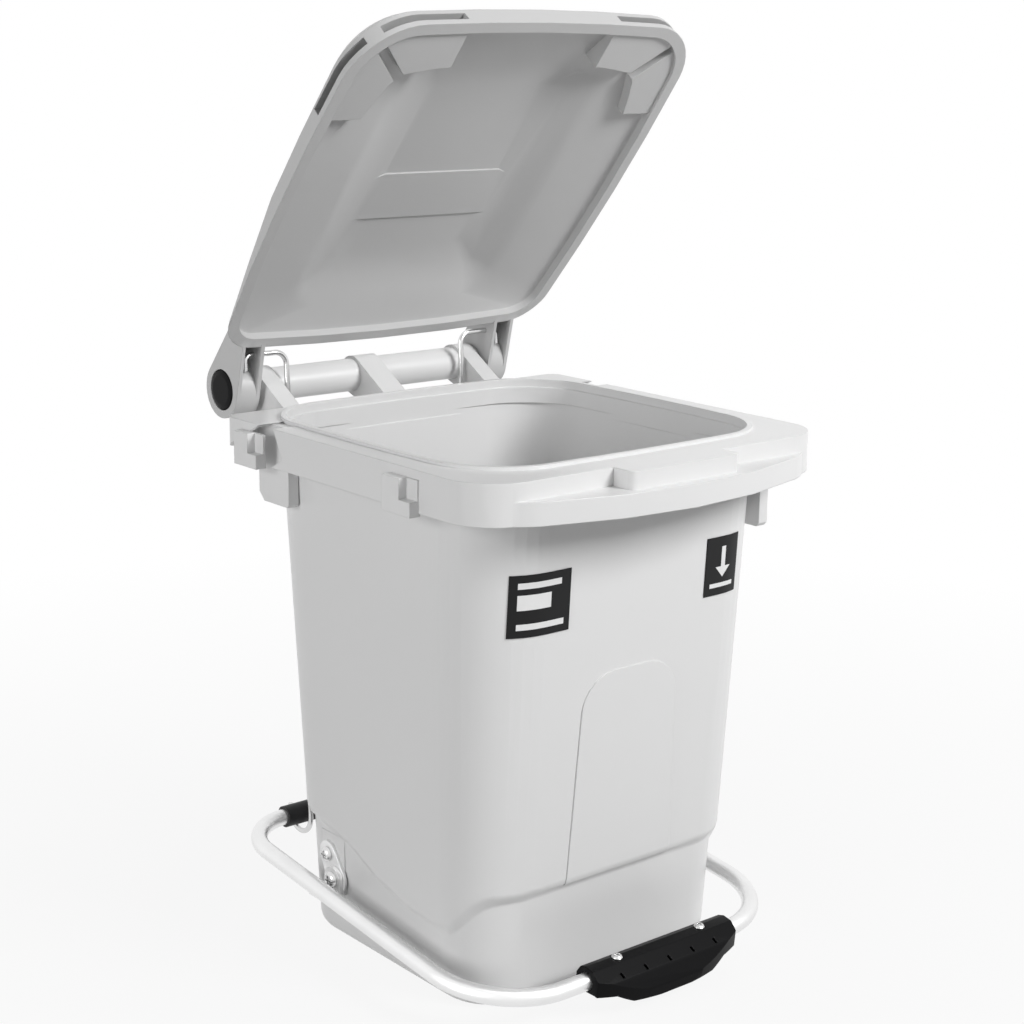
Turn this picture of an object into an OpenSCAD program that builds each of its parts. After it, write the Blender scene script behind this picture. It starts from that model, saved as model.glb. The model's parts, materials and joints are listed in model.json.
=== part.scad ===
// Pedal bin with a hinged lid, open as its pedal loop holds it.
// The front faces -Y and the origin is on the floor below the middle of the rim opening.

/* [Tub] */
// Height of the rim bead above the floor
tub_h = 372.5; // [352:0.5:392]
// Half width of the tub wall under the rim
wall_half_w = 132; // [126:0.5:136]
// Half depth of the tub wall under the rim
wall_half_d = 130; // [124:0.5:132]
// Half width of the tub at the floor
base_half_w = 117.5; // [110:0.5:119]
// Distance from the origin to the front wall at the floor
base_front = 111; // [104:0.5:115]
// Distance from the origin to the rear wall at the floor
base_rear = 106; // [98:0.5:112]
// Corner radius of the tub under the rim
corner_top_r = 55; // [48:0.5:60]
// Corner radius of the tub at the floor
corner_base_r = 41.5; // [34:0.5:46]
// Thickness of the tub wall
wall = 3; // [2.4:0.1:4]
// Height of the shoulder above the base band
band_z = 78; // [70:0.5:90]
// Step of the base band behind the wall above it
band_inset = 5.4; // [4:0.1:6]
// Radius of the bottom edge
base_edge_r = 10; // [6:0.5:12]
// Height of the raised arch on the front wall
arch_top_z = 226; // [200:1:250]
// Half width of the raised arch at its foot
arch_half_w = 47; // [38:0.5:54]
// How far the arch stands proud of the wall
arch_proud = 0.8; // [0.5:0.1:1.4]

/* [Rim] */
// Half width of the rim flange
flange_half_w = 150; // [147:0.5:156]
// Rim bead above the flange
bead_rise = 2.1; // [1.5:0.1:3]
// Width of the rim bead
bead_w = 4; // [3:0.1:5]
// Outward bow of the rim opening at mid side
rim_bow = 4.9; // [3:0.1:6]
// Height of the flange skirt
skirt_h = 26.9; // [22:0.5:32]
// Height of the bowed front ledge above the skirt's lower edge
ledge_h = 15; // [11:0.5:17]
// Straight front face of the flange from the origin
flange_front = 151.5; // [150:0.5:155]
// Extra reach of the bowed front ledge at its middle
ledge_bow = 27; // [20:0.5:30]
// Rear face of the flange from the origin
flange_rear = 133; // [131:0.5:136]
// Half width of the block at the middle of the front
block_half_w = 47; // [38:0.5:54]
// Reach of the front block from the origin
block_front = 169; // [164:0.5:174]

/* [Hinge] */
// Distance of the lid hinge axis behind the origin
hinge_y = 180; // [178:0.5:184]
// Height of the hinge axis above the rim bead
hinge_rise = 5.9; // [5:0.1:7]
// Outer diameter of the moulded hinge tube
hinge_tube_d = 24.4; // [22:0.2:26]
// Half length of the moulded hinge tube
hinge_tube_half = 103.4; // [102:0.1:103.6]
// Diameter of the hinge pins
hinge_pin_d = 14; // [10:0.5:16]
// Length of each hinge pin inside the tube
hinge_pin_reach = 38; // [28:1:48]
// Diameter of the black pin cap
pin_cap_d = 29; // [26:0.5:31]
// Running clearance round a pin
running_fit = 0.06; // [0.03:0.01:0.1]
// Inner face of the outer hinge lugs
lug_in_x = 84.5; // [84:0.5:87]
// Thickness of the outer hinge lugs
lug_w = 14.5; // [12:0.5:15]
// Thickness of the middle hinge lug
mid_lug_w = 20; // [14:0.5:26]

/* [Lid] */
// Angle at which the lid stands open
lid_open = 50.6; // [45:0.1:55]
// Half width of the lid at mid side
lid_half_w = 147.7; // [146:0.1:150]
// Length of the lid between its corner lines
lid_len = 283; // [280:0.5:286]
// Distance from the hinge axis to the lid's rear corner line
lid_back = 44.6; // [43:0.1:47]
// Outward bow of the lid's sides
lid_bow = 6.8; // [5:0.1:8]
// Outward bow of the lid's front and rear edges
lid_end_bow = 5.6; // [4:0.1:7]
// Width of the flat edge under the lid
lid_land = 8.3; // [7:0.1:9.5]
// Height of the inner face behind that edge
lid_lip_h = 5.6; // [4.6:0.1:6]
// Height of the crown's inside above the lower edge
lid_crown_in = 24; // [21:0.5:26]
// Thickness of the lid skin
lid_skin = 3; // [2.4:0.1:3.4]
// Gap between each lid arm and the end of the hinge tube
arm_gap = 0.6; // [0.4:0.1:2]
// Width of each lid arm
arm_w = 19; // [17:0.5:20]
// Diameter of the eye at the end of a lid arm
eye_d = 41; // [38:0.5:42]
// Thickness of the two cheeks of a lid arm
cheek = 3; // [2.4:0.1:3.6]

/* [Pedal] */
// Outer diameter of the pedal tube
tube_d = 12; // [10:0.5:13]
// Distance of the side tubes' centre lines from the tub's half width at the floor
loop_gap = 16.8; // [16.8:0.1:20]
// Distance of the front bar's centre line from the tub's front wall at the floor
loop_front_gap = 35.2; // [31:0.1:39]
// Distance of the rear bar's centre line from the tub's rear wall at the floor
loop_rear_gap = 44.5; // [42:0.1:48]
// Bend radius of the front corners
loop_front_r = 60; // [50:0.5:66]
// Bend radius of the rear corners
loop_rear_r = 39.5; // [34:0.5:39.5]
// Slope of the loop when the pedal is down
loop_slope = 5.71; // [5:0.01:6.4]
// Distance of the pedal pivot behind the origin
pivot_y = 50; // [46:0.5:54]
// Height of the pedal pivot
pivot_z = 47.6; // [45:0.1:50]
// Drop of the tube's centre line below the pivot
pivot_drop = 1.8; // [1:0.1:3]
// Length of the foot tread
tread_l = 128; // [110:1:140]
// Offset of the tread from the middle
tread_x = 9; // [-12:0.5:12]
// Outer diameter of the rubber sleeves on the rear bar
sleeve_d = 16; // [14.4:0.2:17]
// Outer end of each sleeve
sleeve_out_x = 94.5; // [90:0.5:94.5]
// Length of each sleeve
sleeve_l = 34.5; // [30:0.5:50]

/* [Brackets] */
// Thickness of the pivot brackets
bracket_t = 2; // [1.5:0.1:2.5]
// Half width of the pivot brackets
bracket_r = 11; // [10:0.5:12]
// Height of the upper screw above the pivot
screw_up = 15.4; // [14:0.1:18]
// Distance of the upper screw behind the pivot
screw_back = 10; // [7:0.5:12]
// Diameter of the pivot bolt's shank
bolt_d = 6; // [5:0.5:7]
// Diameter of the bracket screw's shank
screw_d = 5; // [4:0.5:6]

/* [Lift wires] */
// Diameter of the lift wires
wire_d = 4; // [3:0.1:4.4]
// Distance of each wire's leg from the middle plane
wire_x = 79.5; // [78.5:0.1:79.8]
// Distance of the wire's hole in front of the hinge axis
wire_hole_fwd = 17; // [16.6:0.1:18]
// Height of the wire's hole above the hinge axis
wire_hole_up = 26.1; // [25:0.1:28]
// Bend radius of the wire, to its centre line
wire_bend_r = 9; // [7:0.5:11]
// Room between the wire's hook and the sleeve
hook_room = 3.2; // [2.8:0.1:4]

/* [Labels] */
// Lower edge of the black labels
label_z = 262; // [250:1:270]
// Height of the black labels
label_h = 41; // [30:1:50]
// Thickness of the labels
label_t = 0.5; // [0.3:0.1:0.8]
// Left and right edges of the left label
label_left_x = [-103, -58];
// Left and right edges of the right label
label_right_x = [62.5, 94.5];

/* [Hidden] */
$fn = 64;

light_grey = [0.86, 0.86, 0.86];
black = [0.05, 0.05, 0.055];
steel = [0.72, 0.73, 0.75];
bright = [0.85, 0.86, 0.88];

// Small overlap that fuses two solids of one node
eps = 0.01;
// Gap between two pieces that touch on the real object
seat = 0.2;

flange_z = tub_h - bead_rise;
skirt_z = flange_z - skirt_h;
ledge_z = skirt_z + ledge_h;
hinge_z = tub_h + hinge_rise;
loop_half_w = base_half_w + loop_gap;
loop_front = base_front + loop_front_gap;
loop_rear = base_rear + loop_rear_gap;
screw_y = pivot_y + screw_back;
screw_z = pivot_z + screw_up;
// The bracket pads stand proud of the band's outer face at the brackets' upper end
pad_proud = 0.42;
pad_x = base_half_w - band_inset + (wall_half_w - base_half_w) * (screw_z + bracket_r) / tub_h + pad_proud;
pad_depth = 6;
bracket_x = pad_x + seat;
eye_x = bracket_x + bracket_t + seat;
eye_t = 3;
bolt_head_x = eye_x + eye_t + seat;
arm_in_x = hinge_tube_half + arm_gap;
arm_out_x = arm_in_x + arm_w;
cap_t = 3.6;

// Number of steps in a quarter bend of an outline, and along one of its sides
corner_steps = 10;
side_steps = 4;

// Front edge and length of the rear and front hooks on the skirt
rear_hook = [83, 27];
front_hook = [-89, 29];
// Front edge and length of the stops under the flange, the lower one at the front right
rear_stop = [71, 36];
front_stop = [-108, 23];
// How far the stops reach below the skirt, the size of their corner cut, and their inner face
rear_stop_drop = 29;
front_stop_drop = 46;
rear_stop_cut = 6;
front_stop_cut = 8;
stop_x = 131;
stop_t = 8;

// Head and nut sizes of the pivot bolts and of the bracket screws
bolt_head_d = 2 * bolt_d;
bolt_head_h = 0.6 * bolt_d;
bolt_nut_w = bolt_d * 5 / 3;
bolt_washer_d = 2 * bolt_d;
screw_head_d = 2.08 * screw_d;
screw_head_h = 0.68 * screw_d;
screw_nut_w = 1.6 * screw_d;
screw_washer_d = 2 * screw_d;

// Smooth step of t from a to b, between 0 and 1
function ease(a, b, t) = let (s = min(1, max(0, (t - a) / (b - a)))) s * s * (3 - 2 * s);

function quarter(cx, cy, r, a0) = [
    for (k = [0 : corner_steps]) let (a = a0 + 90 * k / corner_steps) [cx + r * cos(a), cy + r * sin(a)]
];
function between(p, q) = [for (k = [1 : side_steps - 1]) p + (q - p) * k / side_steps];

// Rounded rectangle from y0 at the front to y1 at the rear
function plain_outline(hx, y0, y1, rf, rr) =
    let (
        fr = quarter(hx - rf, y0 + rf, rf, -90),
        br = quarter(hx - rr, y1 - rr, rr, 0),
        bl = quarter(-hx + rr, y1 - rr, rr, 90),
        fl = quarter(-hx + rf, y0 + rf, rf, 180),
        n = corner_steps
    )
    concat(fr, between(fr[n], br[0]), br, between(br[n], bl[0]), bl, between(bl[n], fl[0]),
        fl, between(fl[n], fr[0]));

// The same outline with its sides bowed outward by bx, its front by bf and its rear by bb
function outline(hx, y0, y1, rf, rr, bx = 0, bf = 0, bb = 0) =
    let (yc = (y0 + y1) / 2, hy = (y1 - y0) / 2)
    [
        for (p = plain_outline(hx, y0, y1, rf, rr))
        [
            p.x + sign(p.x) * bx * (1 - pow((p.y - yc) / hy, 2)),
            p.y + (p.y > yc ? bb : -bf) * (1 - pow(p.x / hx, 2))
        ]
    ];

// Closed solid through a list of rings of 3-D points, all with the same number of points
module loft(rings) {
    n = len(rings[0]);
    m = len(rings);
    middle = function (ring) [for (k = [0 : 2]) [for (p = ring) p[k]] * [for (p = ring) 1] / n];
    points = concat([for (ring = rings) each ring], [middle(rings[0]), middle(rings[m - 1])]);
    sides = [
        for (j = [0 : m - 2], i = [0 : n - 1]) let (k = (i + 1) % n)
        each [[j * n + i, (j + 1) * n + i, (j + 1) * n + k], [j * n + i, (j + 1) * n + k, j * n + k]]
    ];
    bottom = [for (i = [0 : n - 1]) [m * n, i, (i + 1) % n]];
    top = [for (i = [0 : n - 1]) [m * n + 1, (m - 1) * n + (i + 1) % n, (m - 1) * n + i]];
    polyhedron(points = points, faces = concat(bottom, sides, top), convexity = 8);
}
function flat_ring(shape, z) = [for (p = shape) [p.x, p.y, z]];

// Tub wall at height z, moved outward by grow
function wall_outline(z, grow) =
    let (t = z / tub_h, r = corner_base_r + (corner_top_r - corner_base_r) * t + grow)
    plain_outline(
        base_half_w + (wall_half_w - base_half_w) * t + grow,
        -base_front - (wall_half_d - base_front) * t - grow,
        base_rear + (wall_half_d - base_rear) * t + grow,
        r, r
    );

// Height of the shoulder at a point of the wall: it dips along the sides to let the pedal loop pass
function shoulder_z(p) =
    let (
        side = band_z - 26 + 33 * pow(min(1, max(0, (p.y + 73) / 119)), 2.2),
        dip = abs(p.x) > base_half_w - corner_base_r ? 1 : 0
    )
    p.y < -75 || dip == 0 ? band_z - 26 * (dip == 0 ? 0 : 1 - ease(75, 106, -p.y)) : side;

function shoulder_ring(grow, rise) =
    let (foot = wall_outline(band_z, grow)) [for (p = foot) [p.x, p.y, shoulder_z(p) + rise]];

// Solid inside the tub's wall, moved outward by grow, with its floor at z0
module tub_body(grow, z0, z1) {
    r = base_edge_r;
    foot_rings = [
        for (a = [0 : 22.5 : 90])
        flat_ring(wall_outline(r * (1 - cos(a)), grow - band_inset - r * (1 - sin(a))), z0 + r * (1 - cos(a)))
    ];
    loft(concat(
        foot_rings,
        [shoulder_ring(grow - band_inset, -3)],
        [shoulder_ring(grow - band_inset * 0.8, 0)],
        [shoulder_ring(grow - band_inset * 0.15, 4)],
        [shoulder_ring(grow, 8)],
        [flat_ring(wall_outline(z1, grow), z1)]
    ));
}

// Outline of the rim opening, moved outward by grow
function rim_outline(grow) =
    let (hx = wall_half_w - 2 - rim_bow + grow, hy = wall_half_d - 2.2 - rim_bow + grow)
    outline(hx, -hy, hy, 46 + grow, 46 + grow, rim_bow, rim_bow, rim_bow);

// Outline of the flange's straight upper part, moved outward by grow
function flange_outline(grow) =
    plain_outline(flange_half_w + grow, -flange_front - grow, flange_rear + grow, 34 + grow, 9 + grow);

// Outline of the bowed front ledge
function ledge_outline(grow) = [
    for (p = plain_outline(flange_half_w + grow, -flange_front - grow, flange_rear + grow, 40 + grow, 9 + grow))
    [p.x, p.y - (p.y < -60 ? ledge_bow * max(0, 1 - pow(p.x / (flange_half_w - 20), 2)) : 0)]
];

module flange_solid(grow, z0, top_cut) {
    translate([0, 0, z0]) linear_extrude(flange_z - top_cut - z0) polygon(flange_outline(grow));
    translate([0, 0, z0]) linear_extrude(ledge_z - top_cut - z0) polygon(ledge_outline(grow));
    translate([0, 0, z0]) linear_extrude(flange_z - top_cut - z0) front_block(grow);
}

// Raised block at the middle of the front
module front_block(grow) {
    r = 5;
    intersection() {
        polygon(ledge_outline(grow));
        union() {
            translate([-block_half_w - grow, -block_front - grow + r])
                square([2 * (block_half_w + grow), block_front - 120]);
            translate([-block_half_w - grow + r, -block_front - grow])
                square([2 * (block_half_w + grow - r), r + eps]);
            for (s = [-1, 1])
                translate([s * (block_half_w + grow - r), -block_front - grow + r]) circle(r);
        }
    }
}

// Cuts the skirt's lower rear corners away
module skirt_rear_chamfer() {
    translate([-200, flange_rear - 4, skirt_z + 6.5]) rotate([-27, 0, 0]) translate([0, -60, -30])
        cube([400, 120, 30]);
}

// Circle of a lug or arm's eye joined to a bar that ends at two given points
function tangent(p, r, side) =
    let (d = norm(p), a = atan2(p.y, p.x), b = acos(r / d)) [r * cos(a + side * b), r * sin(a + side * b)];

// Web that wraps the hinge tube and lands on the rear of the rim, in the plane of y and z
module lug_profile() {
    wrap = 2;
    r = hinge_tube_d / 2 + wrap;
    upper = [flange_rear - 2 - hinge_y, flange_z - 5 - hinge_z];
    lower = [flange_rear - 2 - hinge_y, skirt_z + 2 - hinge_z];
    circle(r);
    polygon([upper, tangent(upper, r, -1), tangent(lower, r, 1), lower]);
}

// A lug between x0 and x0 + w, flaring where it meets the rim
module hinge_lug(x0, w) {
    flare = 4;
    reach = hinge_y - flange_rear;
    intersection() {
        translate([x0 - flare, hinge_y, hinge_z]) rotate([90, 0, 90])
            linear_extrude(w + 2 * flare) lug_profile();
        translate([x0, flange_rear - 3, skirt_z]) linear_extrude(2 * skirt_h + 20) difference() {
            translate([-flare, 0]) square([w + 2 * flare, reach + hinge_tube_d]);
            for (x = [-flare, w + flare]) {
                translate([x, flare * 2]) circle(flare);
                translate([x - flare, flare * 2]) square([2 * flare, reach + hinge_tube_d]);
            }
        }
    }
}

// L-shaped hook on the skirt's outer face, open upward at its front
module skirt_hook(s, y0, w) {
    depth = 8;
    h = skirt_h - 4;
    z0 = skirt_z - 2;
    x0 = s > 0 ? flange_half_w - 1 : -flange_half_w + 1 - depth;
    difference() {
        translate([x0, y0, z0]) cube([depth, w, h]);
        translate([x0 - 1 + (s > 0 ? 3 : 0), y0 - 1, z0 + h * 0.42]) cube([depth - 1, w * 0.42, h]);
    }
}

// Round-cornered stop under the flange
module under_lug(x0, y0, w, z0, cut) {
    translate([x0, y0, 0]) rotate([90, 0, 90]) linear_extrude(stop_t)
        polygon([[cut * 0.3, z0], [w - cut, z0], [w, z0 + cut], [w, flange_z - 1], [0, flange_z - 1],
            [0, z0 + cut * 0.3]]);
}

// Arch outline on the front wall, in the plane of x and z
module arch_2d() {
    r = 27;
    top_half = arch_half_w - 5;
    polygon([[-arch_half_w, band_z + 2], [arch_half_w, band_z + 2], [top_half, arch_top_z - r],
        [-top_half, arch_top_z - r]]);
    translate([-top_half + r, arch_top_z - r - eps]) square([2 * (top_half - r), r + eps]);
    for (s = [-1, 1]) translate([s * (top_half - r), arch_top_z - r]) circle(r);
}

module along_x(x0, length, d) {
    translate([x0, 0, 0]) rotate([0, 90, 0]) cylinder(h = length, d = d);
}

module tub() {
    color(light_grey) difference() {
        union() {
            difference() {
                union() {
                    tub_body(0, 0, flange_z - 4);
                    difference() {
                        flange_solid(0, skirt_z, 0);
                        flange_solid(-wall, skirt_z - 1, wall);
                        skirt_rear_chamfer();
                    }
                    intersection() {
                        tub_body(arch_proud, 0, flange_z - 4);
                        translate([0, -base_front + 20, 0]) rotate([90, 0, 0]) linear_extrude(60) arch_2d();
                    }
                    translate([0, 0, flange_z - 8]) linear_extrude(8 + bead_rise) polygon(rim_outline(bead_w));
                }
                tub_body(-wall, wall, flange_z - 16);
                translate([0, 0, flange_z - 20]) linear_extrude(18) polygon(rim_outline(-1.2));
                translate([0, 0, flange_z - 4]) linear_extrude(12) polygon(rim_outline(0));
            }
            translate([0, hinge_y, hinge_z]) along_x(-hinge_tube_half, 2 * hinge_tube_half, hinge_tube_d);
            hinge_lug(-mid_lug_w / 2, mid_lug_w);
            hinge_lug(lug_in_x, lug_w);
            hinge_lug(-lug_in_x - lug_w, lug_w);
            for (s = [-1, 1]) {
                skirt_hook(s, rear_hook[0], rear_hook[1]);
                skirt_hook(s, front_hook[0], front_hook[1]);
                under_lug(s > 0 ? stop_x : -stop_x - stop_t, rear_stop[0], rear_stop[1],
                    skirt_z - rear_stop_drop, rear_stop_cut);
                translate([s > 0 ? pad_x - pad_depth : -pad_x, pivot_y - 8, pivot_z - 11])
                    cube([pad_depth, 28, 42]);
            }
            under_lug(stop_x, front_stop[0], front_stop[1], skirt_z - front_stop_drop, front_stop_cut);
        }
        translate([0, hinge_y, hinge_z]) along_x(-arm_in_x, 2 * arm_in_x, hinge_pin_d + 2 * running_fit);
        for (s = [-1, 1]) {
            translate([0, pivot_y, pivot_z]) along_x(s > 0 ? 90 : -130, 40, bolt_d + 0.3);
            translate([0, screw_y, screw_z]) along_x(s > 0 ? 90 : -130, 40, screw_d + 0.3);
        }
    }
}

// Height of the lid's outer skirt at a distance u from its rear corner line
function lid_skirt(u) = 3 + 9.5 * ease(20, 160, u) + 2.5 * ease(200, lid_len, u);

// Lid outline moved inward by d
function lid_outline(d) = outline(lid_half_w - lid_bow - d, -lid_len + d, -d, max(4, 42 - d), max(4, 26 - d),
    lid_bow, lid_end_bow, lid_end_bow);

// Ring of the lid that follows the skirt's top edge
function lid_ring(d, rise) = [for (p = lid_outline(d)) [p.x, p.y, lid_skirt(-p.y) + rise]];

// Outline of the panel inside the lid, moved inward by d
function panel_outline(d) = plain_outline(91 - d, -lid_len + 24 + d, -23 - d, max(6, 34 - d), max(6, 24 - d));

module lid_shell() {
    t = lid_skin;
    loft([
        flat_ring(lid_outline(0), 0),
        lid_ring(0.8, -1.2),
        lid_ring(2.4, 0.6),
        lid_ring(lid_land, 5 + t * 0.5),
        [for (p = panel_outline(-4)) [p.x, p.y, 13 + t + 4 * ease(20, 200, -p.y)]],
        [for (p = panel_outline(8)) [p.x, p.y, 16 + t + 3 * ease(20, 200, -p.y)]],
        flat_ring(panel_outline(24), lid_crown_in - 2 + t),
        flat_ring(panel_outline(44), lid_crown_in + t)
    ]);
}

module lid_hollow() {
    loft([
        flat_ring(lid_outline(lid_land), -1),
        flat_ring(lid_outline(lid_land + 0.3), lid_lip_h),
        flat_ring(lid_outline(lid_land + 2.5), lid_lip_h + 1),
        flat_ring(panel_outline(-1), 12.2),
        flat_ring(panel_outline(8), 15.6),
        flat_ring(panel_outline(22), lid_crown_in - 3),
        flat_ring(panel_outline(42), lid_crown_in)
    ]);
}

// Plan of the two grip boxes of the front corner on the side s, moved inward by d at their inner edges
module grip_plan(s, d) {
    difference() {
        mirror([s > 0 ? 0 : 1, 0, 0]) union() {
            polygon([[150, -207 - d], [113 + d, -207 - d], [109 + d, -222], [104 + d, -236], [101 + d, -240 - d],
                [101 + d, -300], [150, -300]]);
            polygon([[150, -244 - d], [98, -244 - d], [84, -246.5 - d], [70, -249 - d], [62 + d, -249.5 - d],
                [62 + d, -300], [150, -300]]);
        }
        translate([s * 101, -243]) rotate(s > 0 ? -45 : -135) translate([-20, -3.6 - d])
            square([80, 7.2 + 2 * d]);
    }
}

module grip_boxes() {
    intersection() {
        lid_shell();
        translate([0, 0, 2]) linear_extrude(40) intersection() {
            polygon(lid_outline(1));
            union() for (s = [-1, 1]) grip_plan(s, 0);
        }
    }
}

module grip_cuts() {
    translate([0, 0, 4.4]) linear_extrude(6) union() for (s = [-1, 1]) grip_plan(s, 2.4);
}

// Raised plate on the inside of the crown, wider at its rear edge
module crown_plate_2d() {
    r = 14;
    polygon([[-65, -96], [65, -96], [65, -101], [50 + r * 0.7, -134], [50, -138], [-50, -138],
        [-50 - r * 0.7, -134], [-65, -101]]);
}

// Side view of an arm in the plane of distance in front of the axis and height
module arm_profile() {
    r = eye_d / 2;
    low = [lid_back + 3, 1.2];
    high = [lid_back + 22, 20];
    tip = [lid_back + 26, 14];
    circle(r);
    polygon([low, tip, high, tangent(high, r, 1), tangent(low, r, -1)]);
}

// Room between the cheeks of an arm, open below
module arm_channel() {
    r = eye_d / 2;
    high = [lid_back + 22, 20 - cheek * 1.2];
    polygon([[lid_back + 30, -30], high, [r * 0.4, r - cheek], [0, -30]]);
}

module lid_arm(s) {
    x0 = s > 0 ? arm_in_x : -arm_out_x;
    difference() {
        translate([x0 + arm_w, 0, 0]) rotate([90, 0, -90]) linear_extrude(arm_w) arm_profile();
        difference() {
            translate([x0 + arm_w - cheek, 0, 0]) rotate([90, 0, -90])
                linear_extrude(arm_w - 2 * cheek) arm_channel();
            along_x(x0, arm_w, eye_d);
        }
        along_x(x0 - 1, arm_w + 2, hinge_pin_d + 2 * running_fit);
        along_x(s > 0 ? arm_out_x - cap_t + seat : -arm_out_x - 1, cap_t + 1 - seat, pin_cap_d + 0.6);
        wire_hole(s);
    }
}

// The lift wire's hole through the inner cheek, in the closed lid's frame
module wire_hole(s) {
    rotate([lid_open, 0, 0]) translate([0, -wire_hole_fwd, wire_hole_up])
        along_x(s > 0 ? arm_in_x - 1 : -arm_in_x - cheek - 1, cheek + 2, wire_d + 2 * running_fit);
}

module lid() {
    color(light_grey) translate([0, hinge_y, hinge_z]) rotate([-lid_open, 0, 0]) {
        difference() {
            union() {
                translate([0, -lid_back, 0]) difference() {
                    lid_shell();
                    lid_hollow();
                }
                difference() {
                    for (s = [-1, 1]) lid_arm(s);
                    translate([0, -lid_back, 0]) lid_hollow();
                }
                translate([0, -lid_back, 0]) grip_boxes();
                translate([0, -lid_back, lid_crown_in - 1.2]) linear_extrude(2) crown_plate_2d();
            }
            translate([0, -lid_back, 0]) grip_cuts();
        }
    }
}

// Pin with a domed cap: it turns in the lid arm and sits in the hinge tube
module hinge_pin(s) {
    inner = hinge_tube_half - hinge_pin_reach;
    cap_x = arm_out_x - cap_t + 2 * seat;
    color(black) translate([0, hinge_y, hinge_z]) rotate([0, s * 90, 0]) {
        translate([0, 0, inner]) cylinder(h = cap_x - inner + eps, d = hinge_pin_d);
        translate([0, 0, cap_x]) rotate_extrude() polygon([[0, 0], [pin_cap_d / 2, 0],
            [pin_cap_d / 2, cap_t - 1.2], [pin_cap_d / 2 - 1.2, cap_t],
            [pin_cap_d / 2 - 4, cap_t + 0.6], [0, cap_t + 0.6]]);
    }
}

// Places its children in the plane of the pedal loop, with the loop's centre line at z = 0
module in_loop_plane() {
    translate([0, pivot_y, pivot_z - pivot_drop]) rotate([loop_slope, 0, 0]) children();
}
loop_y0 = -(loop_front + pivot_y) / cos(loop_slope);
loop_y1 = (loop_rear - pivot_y) / cos(loop_slope);

// Rounded loop of round bar of diameter d
module round_loop(d) {
    w = loop_half_w;
    rf = loop_front_r;
    rb = loop_rear_r;
    translate([0, loop_y0, 0]) along_x(-w + rf, 2 * (w - rf), d);
    translate([0, loop_y1, 0]) along_x(-w + rb, 2 * (w - rb), d);
    for (s = [-1, 1]) {
        translate([s * w, loop_y0 + rf, 0]) rotate([-90, 0, 0])
            cylinder(h = loop_y1 - loop_y0 - rf - rb, d = d);
        translate([s * (w - rf), loop_y0 + rf, 0]) rotate([0, 0, s > 0 ? -90 : 180])
            rotate_extrude(angle = 90) translate([rf, 0]) circle(d = d);
        translate([s * (w - rb), loop_y1 - rb, 0]) rotate([0, 0, s > 0 ? 0 : 90])
            rotate_extrude(angle = 90) translate([rb, 0]) circle(d = d);
    }
}

// Eye strap welded under a side of the loop: it carries the loop on the pivot bolt
module eye_strap(s) {
    r = 9;
    t = eye_t;
    tube_low = pivot_z - pivot_drop - tube_d / 2;
    difference() {
        union() {
            translate([0, pivot_y, pivot_z]) along_x(s > 0 ? eye_x : -eye_x - t, t, 2 * r);
            translate([s > 0 ? eye_x : -eye_x - t, pivot_y - r, tube_low - t + 0.6])
                cube([t, 2 * r, pivot_z - tube_low + t - 0.6]);
            translate([s > 0 ? eye_x : -loop_half_w, pivot_y - r, tube_low - t + 0.6])
                cube([loop_half_w - eye_x, 2 * r, t]);
        }
        translate([0, pivot_y, pivot_z]) along_x(s > 0 ? eye_x - 1 : -eye_x - t - 1, t + 2,
            bolt_d + 2 * running_fit);
    }
}

// Half distance between the tread's screws, their diameter, and their heads' seat above the tube
tread_screw_gap = 38;
tread_screw_d = 4;
tread_seat = 3.4;
tread_hole_x = [tread_x - tread_screw_gap, tread_x + tread_screw_gap];

module pedal_frame() {
    color(steel) difference() {
        union() {
            in_loop_plane() round_loop(tube_d);
            for (s = [-1, 1]) eye_strap(s);
        }
        in_loop_plane() for (x = tread_hole_x)
            translate([x, loop_y0, 0]) cylinder(h = tube_d, d = tread_screw_d);
    }
}

// Side view of the foot tread round the front bar, with the tube's centre at the origin
module tread_profile() {
    r = tube_d / 2 + 4;
    polygon([[r, -4], [r, 3], [r - 3, 8], [2, r], [-5, r - 0.6], [-14, 2], [-20.5, -8], [-21.5, -14.5],
        [-18.5, -14], [-15.5, -8], [-9, -6.5], [0, -tube_d / 2 - 1.5], [r - 2, -5.5]]);
}

// Plan of the tread with its bowed lip and round ends
module tread_plan() {
    l = tread_l / 2;
    bow_r = 190;
    intersection() {
        translate([0, bow_r - 22]) circle(bow_r, $fn = 180);
        union() {
            translate([-l, -8]) square([2 * l, 30]);
            translate([-l + 14, -40]) square([2 * l - 28, 60]);
            for (s = [-1, 1]) translate([s * (l - 14), -8]) circle(14);
        }
    }
}

module pedal_tread() {
    groove_gap = tread_l / 6;
    color(black) in_loop_plane() translate([tread_x, loop_y0, 0]) difference() {
        intersection() {
            translate([-tread_l / 2, 0, 0]) rotate([90, 0, 90]) linear_extrude(tread_l) tread_profile();
            translate([0, 0, -30]) linear_extrude(60) tread_plan();
        }
        along_x(-tread_l, 2 * tread_l, tube_d + 0.2);
        for (k = [-2 : 2]) translate([k * groove_gap, -13, 4]) rotate([-42, 0, 20])
            translate([-1, -14, -1.5]) cube([2, 22, 4]);
        for (x = tread_hole_x) translate([x - tread_x, 0, 0]) {
            cylinder(h = 40, d = tread_screw_d);
            translate([0, 0, tube_d / 2 + tread_seat]) cylinder(h = 20, d = tread_screw_d + 5);
        }
    }
}

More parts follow.
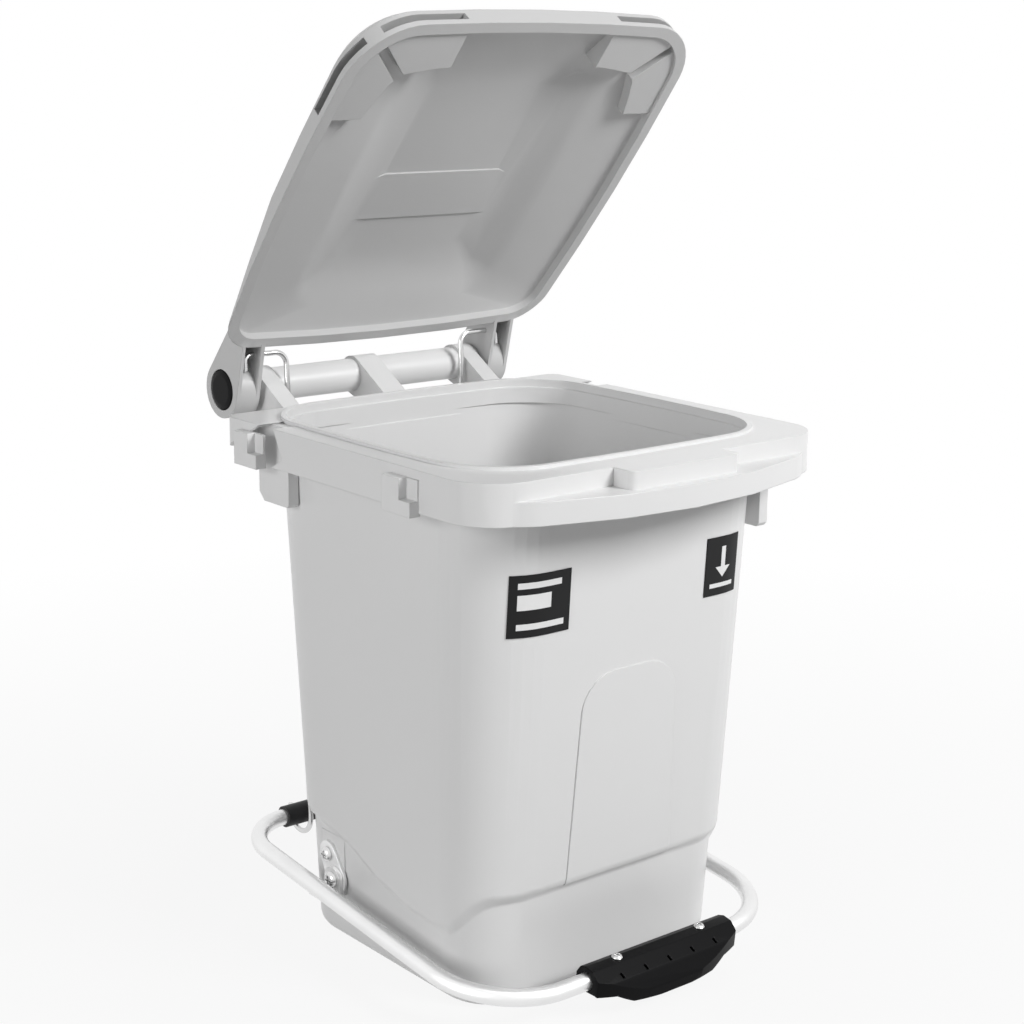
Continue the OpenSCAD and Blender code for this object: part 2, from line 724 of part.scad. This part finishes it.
// Pan-head screw along +Z with its shank below z = 0
module pan_screw(head_d, head_h, shank_d, shank_l) {
    translate([0, 0, -shank_l]) cylinder(h = shank_l + eps, d = shank_d);
    difference() {
        rotate_extrude() polygon([[0, 0], [head_d / 2, 0], [head_d / 2, head_h * 0.35],
            [head_d / 2 - head_h * 0.35, head_h * 0.8], [head_d / 2 - head_h * 0.9, head_h], [0, head_h]]);
        for (a = [0, 90]) rotate([0, 0, a]) translate([-head_d * 0.28, -0.5, head_h * 0.55])
            cube([head_d * 0.56, 1, head_h]);
    }
}

module tread_screws() {
    color(bright) in_loop_plane() for (x = tread_hole_x)
        translate([x, loop_y0, tube_d / 2 + tread_seat + seat])
            pan_screw(1.9 * tread_screw_d, 0.65 * tread_screw_d, tread_screw_d - 0.4, 9);
}

// Turns a child that points along +Z to point outward along X on the side s
module outward(s, x, y, z) {
    translate([s * x, y, z]) rotate([0, s * 90, 0]) children();
}

// Outline of a pivot bracket in the plane of y and z, from the pivot
module bracket_profile() {
    r = bracket_r;
    circle(r);
    translate([screw_back, screw_up]) circle(r * 0.85);
    a = atan2(screw_up, screw_back);
    rotate(a) polygon([[0, -r], [norm([screw_back, screw_up]), -r * 0.85],
        [norm([screw_back, screw_up]), r * 0.85], [0, r]]);
}

// Bracket plate that carries the pivot bolt and hangs from its screw
module bracket(s) {
    x0 = s > 0 ? bracket_x : -bracket_x - bracket_t;
    color(steel) difference() {
        translate([x0, pivot_y, pivot_z]) rotate([90, 0, 90]) linear_extrude(bracket_t) bracket_profile();
        translate([0, pivot_y, pivot_z]) along_x(x0 - 1, bracket_t + 2, bolt_d + 0.2);
        translate([0, screw_y, screw_z]) along_x(x0 - 1, bracket_t + 2, screw_d + 0.2);
    }
}

nut_x = pad_x - pad_depth - seat;
washer_t = 1.2;
nut_t = 4.4;

module bracket_screws() {
    shank = bracket_x + bracket_t + seat - nut_x + washer_t + nut_t + 1.5;
    color(bright) for (s = [-1, 1]) outward(s, bracket_x + bracket_t + seat, screw_y, screw_z)
        pan_screw(screw_head_d, screw_head_h, screw_d, shank);
}

module pivot_bolts() {
    shank = bolt_head_x - nut_x + washer_t + nut_t + 1.5;
    color(bright) for (s = [-1, 1]) outward(s, bolt_head_x, pivot_y, pivot_z)
        pan_screw(bolt_head_d, bolt_head_h, bolt_d, shank);
}

// Washer or nut seats inside the tub, for the bolt and the screw of both sides
module at_nut_seats(offset_x) {
    for (s = [-1, 1]) {
        outward(s, nut_x - offset_x, pivot_y, pivot_z) children(0);
        outward(s, nut_x - offset_x, screw_y, screw_z) children(1);
    }
}

module ring(od, id, h) {
    difference() {
        cylinder(h = h, d = od);
        translate([0, 0, -1]) cylinder(h = h + 2, d = id);
    }
}

module hex_nut(across, id, h) {
    difference() {
        cylinder(h = h, d = across / cos(30), $fn = 6);
        translate([0, 0, -1]) cylinder(h = h + 2, d = id);
    }
}

module bracket_washers() {
    color(bright) at_nut_seats(washer_t) {
        ring(bolt_washer_d, bolt_d + 0.4, washer_t);
        ring(screw_washer_d, screw_d + 0.4, washer_t);
    }
}

module bracket_nuts() {
    color(bright) at_nut_seats(washer_t + seat + nut_t) {
        hex_nut(bolt_nut_w, bolt_d + 0.1, nut_t);
        hex_nut(screw_nut_w, screw_d + 0.1, nut_t);
    }
}

module rear_sleeve(s) {
    color(black) in_loop_plane() translate([s > 0 ? sleeve_out_x - sleeve_l : -sleeve_out_x, loop_y1, 0])
        difference() {
            along_x(0, sleeve_l, sleeve_d);
            along_x(-1, sleeve_l + 2, tube_d + 0.1);
        }
}

// The wire's hole in the lid arm, and the foot of its leg beside the rear bar
hook_r = sleeve_d / 2 + wire_d / 2 + hook_room;
wire_top = [hinge_y - wire_hole_fwd, hinge_z + wire_hole_up];
wire_foot = [loop_rear - hook_r, pivot_z - pivot_drop + (loop_rear - pivot_y) * tan(loop_slope)];
wire_len = norm(wire_top - wire_foot);
wire_lean = atan2(wire_top.x - wire_foot.x, wire_top.y - wire_foot.y);

// Wire that hangs from the arm: hook round the rear bar, leg, top bend, bar through the arm, turned-down end
module lift_wire(s) {
    r = wire_bend_r;
    end_r = 5;
    end_drop = 6;
    hook_end = 5;
    end_x = arm_in_x + cheek + 7;
    color(bright) translate([0, wire_top.x, wire_top.y])
        rotate([-wire_lean, 0, 0]) mirror([s > 0 ? 0 : 1, 0, 0]) {
        along_x(wire_x + r, end_x - end_r - wire_x - r, wire_d);
        translate([wire_x + r, 0, -r]) rotate([90, 0, 0]) rotate([0, 0, 90])
            rotate_extrude(angle = 90) translate([r, 0]) circle(d = wire_d);
        translate([end_x - end_r, 0, -end_r]) rotate([90, 0, 0])
            rotate_extrude(angle = 90) translate([end_r, 0]) circle(d = wire_d);
        translate([end_x, 0, -end_r - end_drop]) cylinder(h = end_drop, d = wire_d);
        translate([wire_x, 0, -wire_len]) cylinder(h = wire_len - r, d = wire_d);
        translate([wire_x, hook_r, -wire_len]) rotate([0, 90, 0]) rotate([0, 0, -90])
            rotate_extrude(angle = 180) translate([hook_r, 0]) circle(d = wire_d);
        translate([wire_x, 2 * hook_r, -wire_len]) cylinder(h = hook_end, d = wire_d);
    }
}

// Thin label that follows the front wall between x0 and x1
module label(x0, x1) {
    gap = 0.1;
    color(black) intersection() {
        difference() {
            loft([flat_ring(wall_outline(label_z, gap + label_t), label_z),
                flat_ring(wall_outline(label_z + label_h, gap + label_t), label_z + label_h)]);
            loft([flat_ring(wall_outline(label_z - 1, gap), label_z - 1),
                flat_ring(wall_outline(label_z + label_h + 1, gap), label_z + label_h + 1)]);
        }
        translate([x0, -200, label_z - 1]) cube([x1 - x0, 120, label_h + 2]);
    }
}

tub();
lid();
hinge_pin(-1);  // hinge_pin_left
hinge_pin(1);  // hinge_pin_right
pedal_frame();
pedal_tread();
tread_screws();
bracket(-1);  // bracket_left
bracket(1);  // bracket_right
bracket_screws();
pivot_bolts();
bracket_washers();
bracket_nuts();
rear_sleeve(-1);  // rear_sleeve_left
rear_sleeve(1);  // rear_sleeve_right
lift_wire(-1);  // lift_wire_left
lift_wire(1);  // lift_wire_right
label(label_left_x[0], label_left_x[1]);  // label_left
label(label_right_x[0], label_right_x[1]);  // label_right
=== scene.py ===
"""Looks, light and camera of the pedal bin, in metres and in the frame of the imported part."""
import json
import math

import bpy
from mathutils import Matrix, Vector
from mathutils.bvhtree import BVHTree


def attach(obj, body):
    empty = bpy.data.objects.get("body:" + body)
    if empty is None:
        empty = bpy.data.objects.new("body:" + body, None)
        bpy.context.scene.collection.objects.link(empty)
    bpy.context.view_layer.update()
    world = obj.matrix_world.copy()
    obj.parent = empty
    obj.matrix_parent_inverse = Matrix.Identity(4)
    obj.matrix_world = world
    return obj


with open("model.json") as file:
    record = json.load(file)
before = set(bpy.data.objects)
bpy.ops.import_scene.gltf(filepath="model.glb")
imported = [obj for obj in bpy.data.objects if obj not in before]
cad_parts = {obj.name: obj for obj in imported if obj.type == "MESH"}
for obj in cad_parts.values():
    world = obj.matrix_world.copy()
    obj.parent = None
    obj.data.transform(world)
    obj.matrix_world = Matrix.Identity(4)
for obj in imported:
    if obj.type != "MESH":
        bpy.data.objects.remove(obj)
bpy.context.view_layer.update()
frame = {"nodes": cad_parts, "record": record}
NODES = frame["nodes"]

# Camera of the photograph: place, aim, roll, lens and sensor in millimetres, nearest distance seen
CAMERA_PLACE = Vector((-0.87354, -1.04723, 0.63333))
CAMERA_AIM = Vector((-0.0019, 0.0, 0.3063))
CAMERA_ROLL = math.radians(0.772)
CAMERA_LENS = 71.15
SENSOR_WIDTH = 36.0
CAMERA_NEAR = 0.01

# Floor: half size, diffuse tone, and the distances between which its shadows fade into white
FLOOR_HALF = 12.0
FLOOR_TONE = 0.42
SHADOW_NEAR = 0.25
SHADOW_FAR = 1.1
# Share of plain white that the camera sees on the floor near the object
WHITE_NEAR = 0.90

# Strength of the even light from all round
AMBIENT = 0.14
# Point that the lamps aim at
LIGHT_AIM = Vector((0.0, 0.0, 0.25))
# Lamps: name, place, width, height, watts, and whether glossy surfaces mirror them
LAMPS = (
    ("key", (0.7, -1.75, 1.5), 0.8, 0.8, 46, True),
    ("fill", (-2.2, -0.2, 0.7), 1.0, 1.2, 24, True),
    ("top", (0.1, -0.3, 2.3), 1.2, 1.2, 5, True),
    ("back", (1.4, 1.8, 0.8), 1.2, 1.2, 26, False),
)

# Smooth shading: edges sharper than this stay sharp, corners nearer than this are welded
SHARP_ANGLE = math.radians(32)
WELD_DISTANCE = 4e-5
WEIGHT_BY_AREA = 50

# Plastic: noise scale and detail of tone, gloss and grain, with the gloss drawn out along Z
TONE_NOISE = (9.0, 3.0)
GLOSS_NOISE = (26.0, 4.0)
GRAIN_NOISE = (900.0, 2.0)
GLOSS_STRETCH = (1.0, 1.0, 0.35)
# Darkest and lightest tone as shares of the colour, swing of the roughness, depth of the grain
TONE_LOW = 0.985
TONE_HIGH = 1.01
GLOSS_SWING = 0.015
GRAIN_DEPTH = 0.0002
PLASTIC_IOR = 1.49

# Metal: noise scale and detail of its fine lines and of its uneven polish
LINE_NOISE = (260.0, 3.0)
POLISH_NOISE = (30.0, 2.0)
# Darkest polish as a share of the tone, and how far the roughness goes below and above its mean
POLISH_LOW = 0.88
ROUGH_BELOW = 0.04
ROUGH_ABOVE = 0.06
# Strength and depth of the fine lines
LINE_STRENGTH = 0.08
LINE_DEPTH = 0.00005

# Plastics by slot: colour, roughness, strength of the grain, radius of softened edges, specular level
PLASTICS = {
    "tub_plastic": ((0.70, 0.70, 0.70), 0.31, 0.10, 0.0009, 0.5),
    "lid_plastic": ((0.52, 0.52, 0.52), 0.38, 0.12, 0.0007, 0.5),
    "black_plastic": ((0.004, 0.004, 0.0045), 0.42, 0.15, 0.0006, 0.08),
    "tread_plastic": ((0.003, 0.003, 0.0034), 0.32, 0.12, 0.0010, 0.08),
    "black_rubber": ((0.016, 0.016, 0.017), 0.52, 0.25, 0.0005, 0.3),
    "label_black": ((0.008, 0.008, 0.0085), 0.42, 0.05, 0.0001, 0.2),
    "print_white": ((0.74, 0.74, 0.74), 0.45, 0.05, 0.00005, 0.3),
}
# Metals by slot: tone, roughness, radius of softened edges
METALS = {
    "satin_steel": (0.88, 0.34, 0.0004),
    "bright_steel": (0.74, 0.20, 0.0003),
}

# Generic white marks printed on the labels: corners in x and z, in millimetres
LEFT_MARKS = (
    ((-98.0, 294.0), (-66.0, 294.0), (-66.0, 298.0), (-98.0, 298.0)),
    ((-98.0, 280.0), (-74.0, 280.0), (-74.0, 290.0), (-98.0, 290.0)),
    ((-98.0, 267.0), (-63.0, 267.0), (-63.0, 271.0), (-98.0, 271.0)),
)
RIGHT_MARKS = (
    ((67.0, 267.5), (89.5, 267.5), (89.5, 270.5), (67.0, 270.5)),
    ((76.5, 282.0), (80.5, 282.0), (80.5, 296.0), (76.5, 296.0)),
    ((78.4, 274.5), (78.6, 274.5), (85.5, 282.0), (71.5, 282.0)),
)
# How far the print stands proud of its label, and the cells along each side of a mark
PRINT_PROUD = 0.0002
PRINT_CELLS = 10
# Place in front of the object where the rays that find the label start
RAY_START_Y = -1.0
MM_PER_METRE = 1000.0


def link(obj):
    """Adds an object to the scene."""
    bpy.context.scene.collection.objects.link(obj)
    return obj


def add_camera():
    """Sets the camera at the photograph's viewing angle."""
    ahead = (CAMERA_AIM - CAMERA_PLACE).normalized()
    right = ahead.cross(Vector((0, 0, 1))).normalized()
    up = right.cross(ahead)
    turned_right = right * math.cos(CAMERA_ROLL) + up * math.sin(CAMERA_ROLL)
    turned_up = turned_right.cross(ahead)
    data = bpy.data.cameras.new("camera")
    data.lens = CAMERA_LENS
    data.sensor_width = SENSOR_WIDTH
    data.clip_start = CAMERA_NEAR
    camera = link(bpy.data.objects.new("camera", data))
    turn = Matrix((turned_right, turned_up, -ahead)).transposed()
    camera.matrix_world = Matrix.Translation(CAMERA_PLACE) @ turn.to_4x4()
    bpy.context.scene.camera = camera


class Graph:
    """Adds and links the shader nodes of one material or world."""

    def __init__(self, tree):
        self.tree = tree
        self.tree.nodes.clear()

    def add(self, kind, settings=(), **inputs):
        """Adds a node of this kind, sets its properties and fills or links its named inputs."""
        made = self.tree.nodes.new(kind)
        for key, value in dict(settings).items():
            setattr(made, key, value)
        for key, value in inputs.items():
            self.fill(made, key.replace("_", " "), value)
        return made

    def fill(self, made, key, value):
        """Sets one input of a node by its name or number, or links a socket to it."""
        socket = made.inputs[key]
        if isinstance(value, bpy.types.NodeSocket):
            self.tree.links.new(value, socket)
        else:
            socket.default_value = value

    def join(self, kind, first, second, settings=()):
        """Adds a node and fills its first two inputs."""
        made = self.add(kind, settings)
        self.fill(made, 0, first)
        self.fill(made, 1, second)
        return made.outputs[0]


def grey(value):
    """Opaque grey of one linear value."""
    return (value, value, value, 1.0)


def new_material(name):
    """An empty node material with its graph."""
    material = bpy.data.materials.new(name)
    material.use_nodes = True
    return material, Graph(material.node_tree)


def noise(graph, scale, detail, stretch=(1.0, 1.0, 1.0)):
    """Noise in the object's own coordinates, stretched along its axes."""
    place = graph.add("ShaderNodeTexCoord").outputs["Object"]
    mapped = graph.add("ShaderNodeMapping", Vector=place, Scale=stretch).outputs["Vector"]
    return graph.add("ShaderNodeTexNoise", Vector=mapped, Scale=scale, Detail=detail).outputs["Fac"]


def spread(graph, value, low, high, start=0.0, end=1.0):
    """Maps a value that runs from start to end to the range from low to high."""
    made = graph.add("ShaderNodeMapRange", Value=value, From_Min=start, From_Max=end, To_Min=low, To_Max=high)
    return made.outputs["Result"]


def two_tone(graph, factor, dark, light):
    """Blends two colours by a factor."""
    made = graph.add("ShaderNodeMix", {"data_type": "RGBA"})
    graph.fill(made, 0, factor)
    graph.fill(made, 6, dark)
    graph.fill(made, 7, light)
    return made.outputs[2]


def two_shaders(graph, factor, first, second):
    """Blends two shaders by a factor."""
    made = graph.add("ShaderNodeMixShader", Fac=factor)
    graph.fill(made, 1, first)
    graph.fill(made, 2, second)
    return made.outputs[0]


def moulded_plastic(name, colour, rough, grain, edge, gloss):
    """Moulded plastic: cloudy tone, uneven gloss, fine orange peel and softened edges."""
    material, graph = new_material(name)
    cloud = noise(graph, *TONE_NOISE)
    flow = noise(graph, *GLOSS_NOISE, GLOSS_STRETCH)
    peel = noise(graph, *GRAIN_NOISE)
    dark = tuple(TONE_LOW * c for c in colour) + (1.0,)
    light = tuple(min(1.0, TONE_HIGH * c) for c in colour) + (1.0,)
    rounded = graph.add("ShaderNodeBevel", {"samples": 6}, Radius=edge).outputs["Normal"]
    bump = graph.add("ShaderNodeBump", Strength=grain, Distance=GRAIN_DEPTH, Height=peel, Normal=rounded)
    shader = graph.add(
        "ShaderNodeBsdfPrincipled",
        Base_Color=two_tone(graph, spread(graph, cloud, 0.0, 1.0), dark, light),
        Roughness=spread(graph, flow, rough - GLOSS_SWING, rough + GLOSS_SWING),
        IOR=PLASTIC_IOR,
        Specular_IOR_Level=gloss,
        Normal=bump.outputs["Normal"])
    graph.add("ShaderNodeOutputMaterial", Surface=shader.outputs["BSDF"])
    return material


def metal(name, tone, rough, edge):
    """Plated steel: fine lines, uneven polish and softened edges."""
    material, graph = new_material(name)
    lines = noise(graph, *LINE_NOISE)
    cloud = noise(graph, *POLISH_NOISE)
    rounded = graph.add("ShaderNodeBevel", {"samples": 4}, Radius=edge).outputs["Normal"]
    bump = graph.add(
        "ShaderNodeBump", Strength=LINE_STRENGTH, Distance=LINE_DEPTH, Height=lines, Normal=rounded)
    shader = graph.add(
        "ShaderNodeBsdfPrincipled",
        Base_Color=two_tone(graph, spread(graph, cloud, 0.0, 1.0), grey(tone * POLISH_LOW), grey(tone)),
        Roughness=spread(graph, lines, rough - ROUGH_BELOW, rough + ROUGH_ABOVE),
        Metallic=1.0,
        Normal=bump.outputs["Normal"])
    graph.add("ShaderNodeOutputMaterial", Surface=shader.outputs["BSDF"])
    return material


def shade_smooth():
    """Node group that shades smooth and keeps edges sharper than SHARP_ANGLE."""
    tree = bpy.data.node_groups.new("smooth_by_angle", "GeometryNodeTree")
    tree.is_modifier = True
    for direction in ("INPUT", "OUTPUT"):
        tree.interface.new_socket("Geometry", in_out=direction, socket_type="NodeSocketGeometry")
    start = tree.nodes.new("NodeGroupInput")
    end = tree.nodes.new("NodeGroupOutput")
    faces = tree.nodes.new("GeometryNodeSetShadeSmooth")
    edges = tree.nodes.new("GeometryNodeSetShadeSmooth")
    edges.domain = "EDGE"
    edges.inputs["Shade Smooth"].default_value = False
    angle = tree.nodes.new("GeometryNodeInputMeshEdgeAngle")
    sharper = tree.nodes.new("FunctionNodeCompare")
    sharper.operation = "GREATER_THAN"
    sharper.inputs[1].default_value = SHARP_ANGLE
    tree.links.new(start.outputs[0], faces.inputs["Geometry"])
    tree.links.new(faces.outputs[0], edges.inputs["Geometry"])
    tree.links.new(angle.outputs["Unsigned Angle"], sharper.inputs[0])
    tree.links.new(sharper.outputs[0], edges.inputs["Selection"])
    tree.links.new(edges.outputs[0], end.inputs[0])
    return tree


def finish_surface(obj, smoothing):
    """Welds split corners, shades smooth by angle and weights the normals by face area."""
    weld = obj.modifiers.new("weld", "WELD")
    weld.merge_threshold = WELD_DISTANCE
    smooth = obj.modifiers.new("smooth", "NODES")
    smooth.node_group = smoothing
    weighted = obj.modifiers.new("weighted", "WEIGHTED_NORMAL")
    weighted.keep_sharp = True
    weighted.weight = WEIGHT_BY_AREA


def set_material(obj, material):
    """Gives every face of an object one material."""
    obj.data.materials.clear()
    obj.data.materials.append(material)


def dress_nodes(looks):
    """Gives every CAD node its material and smooth shading."""
    smoothing = shade_smooth()
    for part in frame["record"]["subparts"]:
        obj = NODES[part["node"]]
        set_material(obj, looks[part["material_slot"]])
        finish_surface(obj, smoothing)


def surface_of(obj):
    """Search tree of an object's mesh in the shared frame."""
    corners = [obj.matrix_world @ vertex.co for vertex in obj.data.vertices]
    return BVHTree.FromPolygons(corners, [tuple(face.vertices) for face in obj.data.polygons])


def print_marks(name, label, marks, material):
    """Thin white marks that follow the outer face of a label."""
    surface = surface_of(label)
    stride = PRINT_CELLS + 1
    points = []
    cells = []
    for mark in marks:
        start = len(points)
        low_left, low_right, high_right, high_left = (Vector(corner) / MM_PER_METRE for corner in mark)
        for row in range(stride):
            left = low_left.lerp(high_left, row / PRINT_CELLS)
            right = low_right.lerp(high_right, row / PRINT_CELLS)
            for column in range(stride):
                flat = left.lerp(right, column / PRINT_CELLS)
                before = Vector((flat.x, RAY_START_Y, flat.y))
                place, normal, _, _ = surface.ray_cast(before, Vector((0.0, 1.0, 0.0)))
                outward = normal if normal.y < 0 else -normal
                points.append(place + outward * PRINT_PROUD)
        for row in range(PRINT_CELLS):
            for column in range(PRINT_CELLS):
                first = start + row * stride + column
                cells.append((first, first + 1, first + stride + 1, first + stride))
    mesh = bpy.data.meshes.new(name)
    mesh.from_pydata(points, [], cells)
    piece = link(bpy.data.objects.new(name, mesh))
    set_material(piece, material)
    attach(piece, "body")


def seen_rays(graph):
    """One for camera, glossy and transmission rays, and nought for the others."""
    rays = graph.add("ShaderNodeLightPath").outputs
    total = rays["Is Camera Ray"]
    for kind in ("Is Glossy Ray", "Is Transmission Ray"):
        total = graph.join("ShaderNodeMath", total, rays[kind], {"operation": "ADD", "use_clamp": True})
    return total


def add_floor():
    """A wide pale floor that shows white to the camera and keeps the object's shadow."""
    half = FLOOR_HALF
    mesh = bpy.data.meshes.new("floor")
    corners = [(-half, -half, 0), (half, -half, 0), (half, half, 0), (-half, half, 0)]
    mesh.from_pydata(corners, [], [(0, 1, 2, 3)])
    floor = link(bpy.data.objects.new("floor", mesh))
    material, graph = new_material("floor")
    place = graph.add("ShaderNodeTexCoord").outputs["Object"]
    distance = graph.add("ShaderNodeVectorMath", {"operation": "LENGTH"})
    graph.fill(distance, 0, place)
    fade = spread(graph, distance.outputs["Value"], WHITE_NEAR, 1.0, SHADOW_NEAR, SHADOW_FAR)
    share = graph.join("ShaderNodeMath", seen_rays(graph), fade, {"operation": "MULTIPLY"})
    matt = graph.add("ShaderNodeBsdfDiffuse", Color=grey(FLOOR_TONE))
    glow = graph.add("ShaderNodeEmission", Color=grey(1.0), Strength=1.0)
    mixed = two_shaders(graph, share, matt.outputs[0], glow.outputs[0])
    graph.add("ShaderNodeOutputMaterial", Surface=mixed)
    mesh.materials.append(material)


def add_world():
    """White behind the object and an even grey light round it."""
    world = bpy.data.worlds.new("studio")
    world.use_nodes = True
    bpy.context.scene.world = world
    graph = Graph(world.node_tree)
    soft = graph.add("ShaderNodeBackground", Color=grey(1.0), Strength=AMBIENT)
    white = graph.add("ShaderNodeBackground", Color=grey(1.0), Strength=1.0)
    mixed = two_shaders(graph, seen_rays(graph), soft.outputs[0], white.outputs[0])
    graph.add("ShaderNodeOutputWorld", Surface=mixed)


def add_lights():
    """Soft studio light: key from the front right, fill from the left, lamps above and behind."""
    for name, place, width, height, watts, mirrored in LAMPS:
        data = bpy.data.lights.new(name, "AREA")
        data.shape = "RECTANGLE"
        data.size = width
        data.size_y = height
        data.energy = watts
        lamp = link(bpy.data.objects.new(name, data))
        lamp.location = place
        lamp.rotation_euler = (LIGHT_AIM - Vector(place)).to_track_quat("-Z", "Y").to_euler()
        lamp.visible_camera = False
        lamp.visible_glossy = mirrored


bpy.context.scene.view_settings.view_transform = "Standard"
add_camera()
add_world()
add_floor()
add_lights()
LOOKS = {slot: moulded_plastic(slot, *look) for slot, look in PLASTICS.items()}
LOOKS.update({slot: metal(slot, *look) for slot, look in METALS.items()})
dress_nodes(LOOKS)
print_marks("label_marks_left", NODES["label_left"], LEFT_MARKS, LOOKS["print_white"])
print_marks("label_marks_right", NODES["label_right"], RIGHT_MARKS, LOOKS["print_white"])
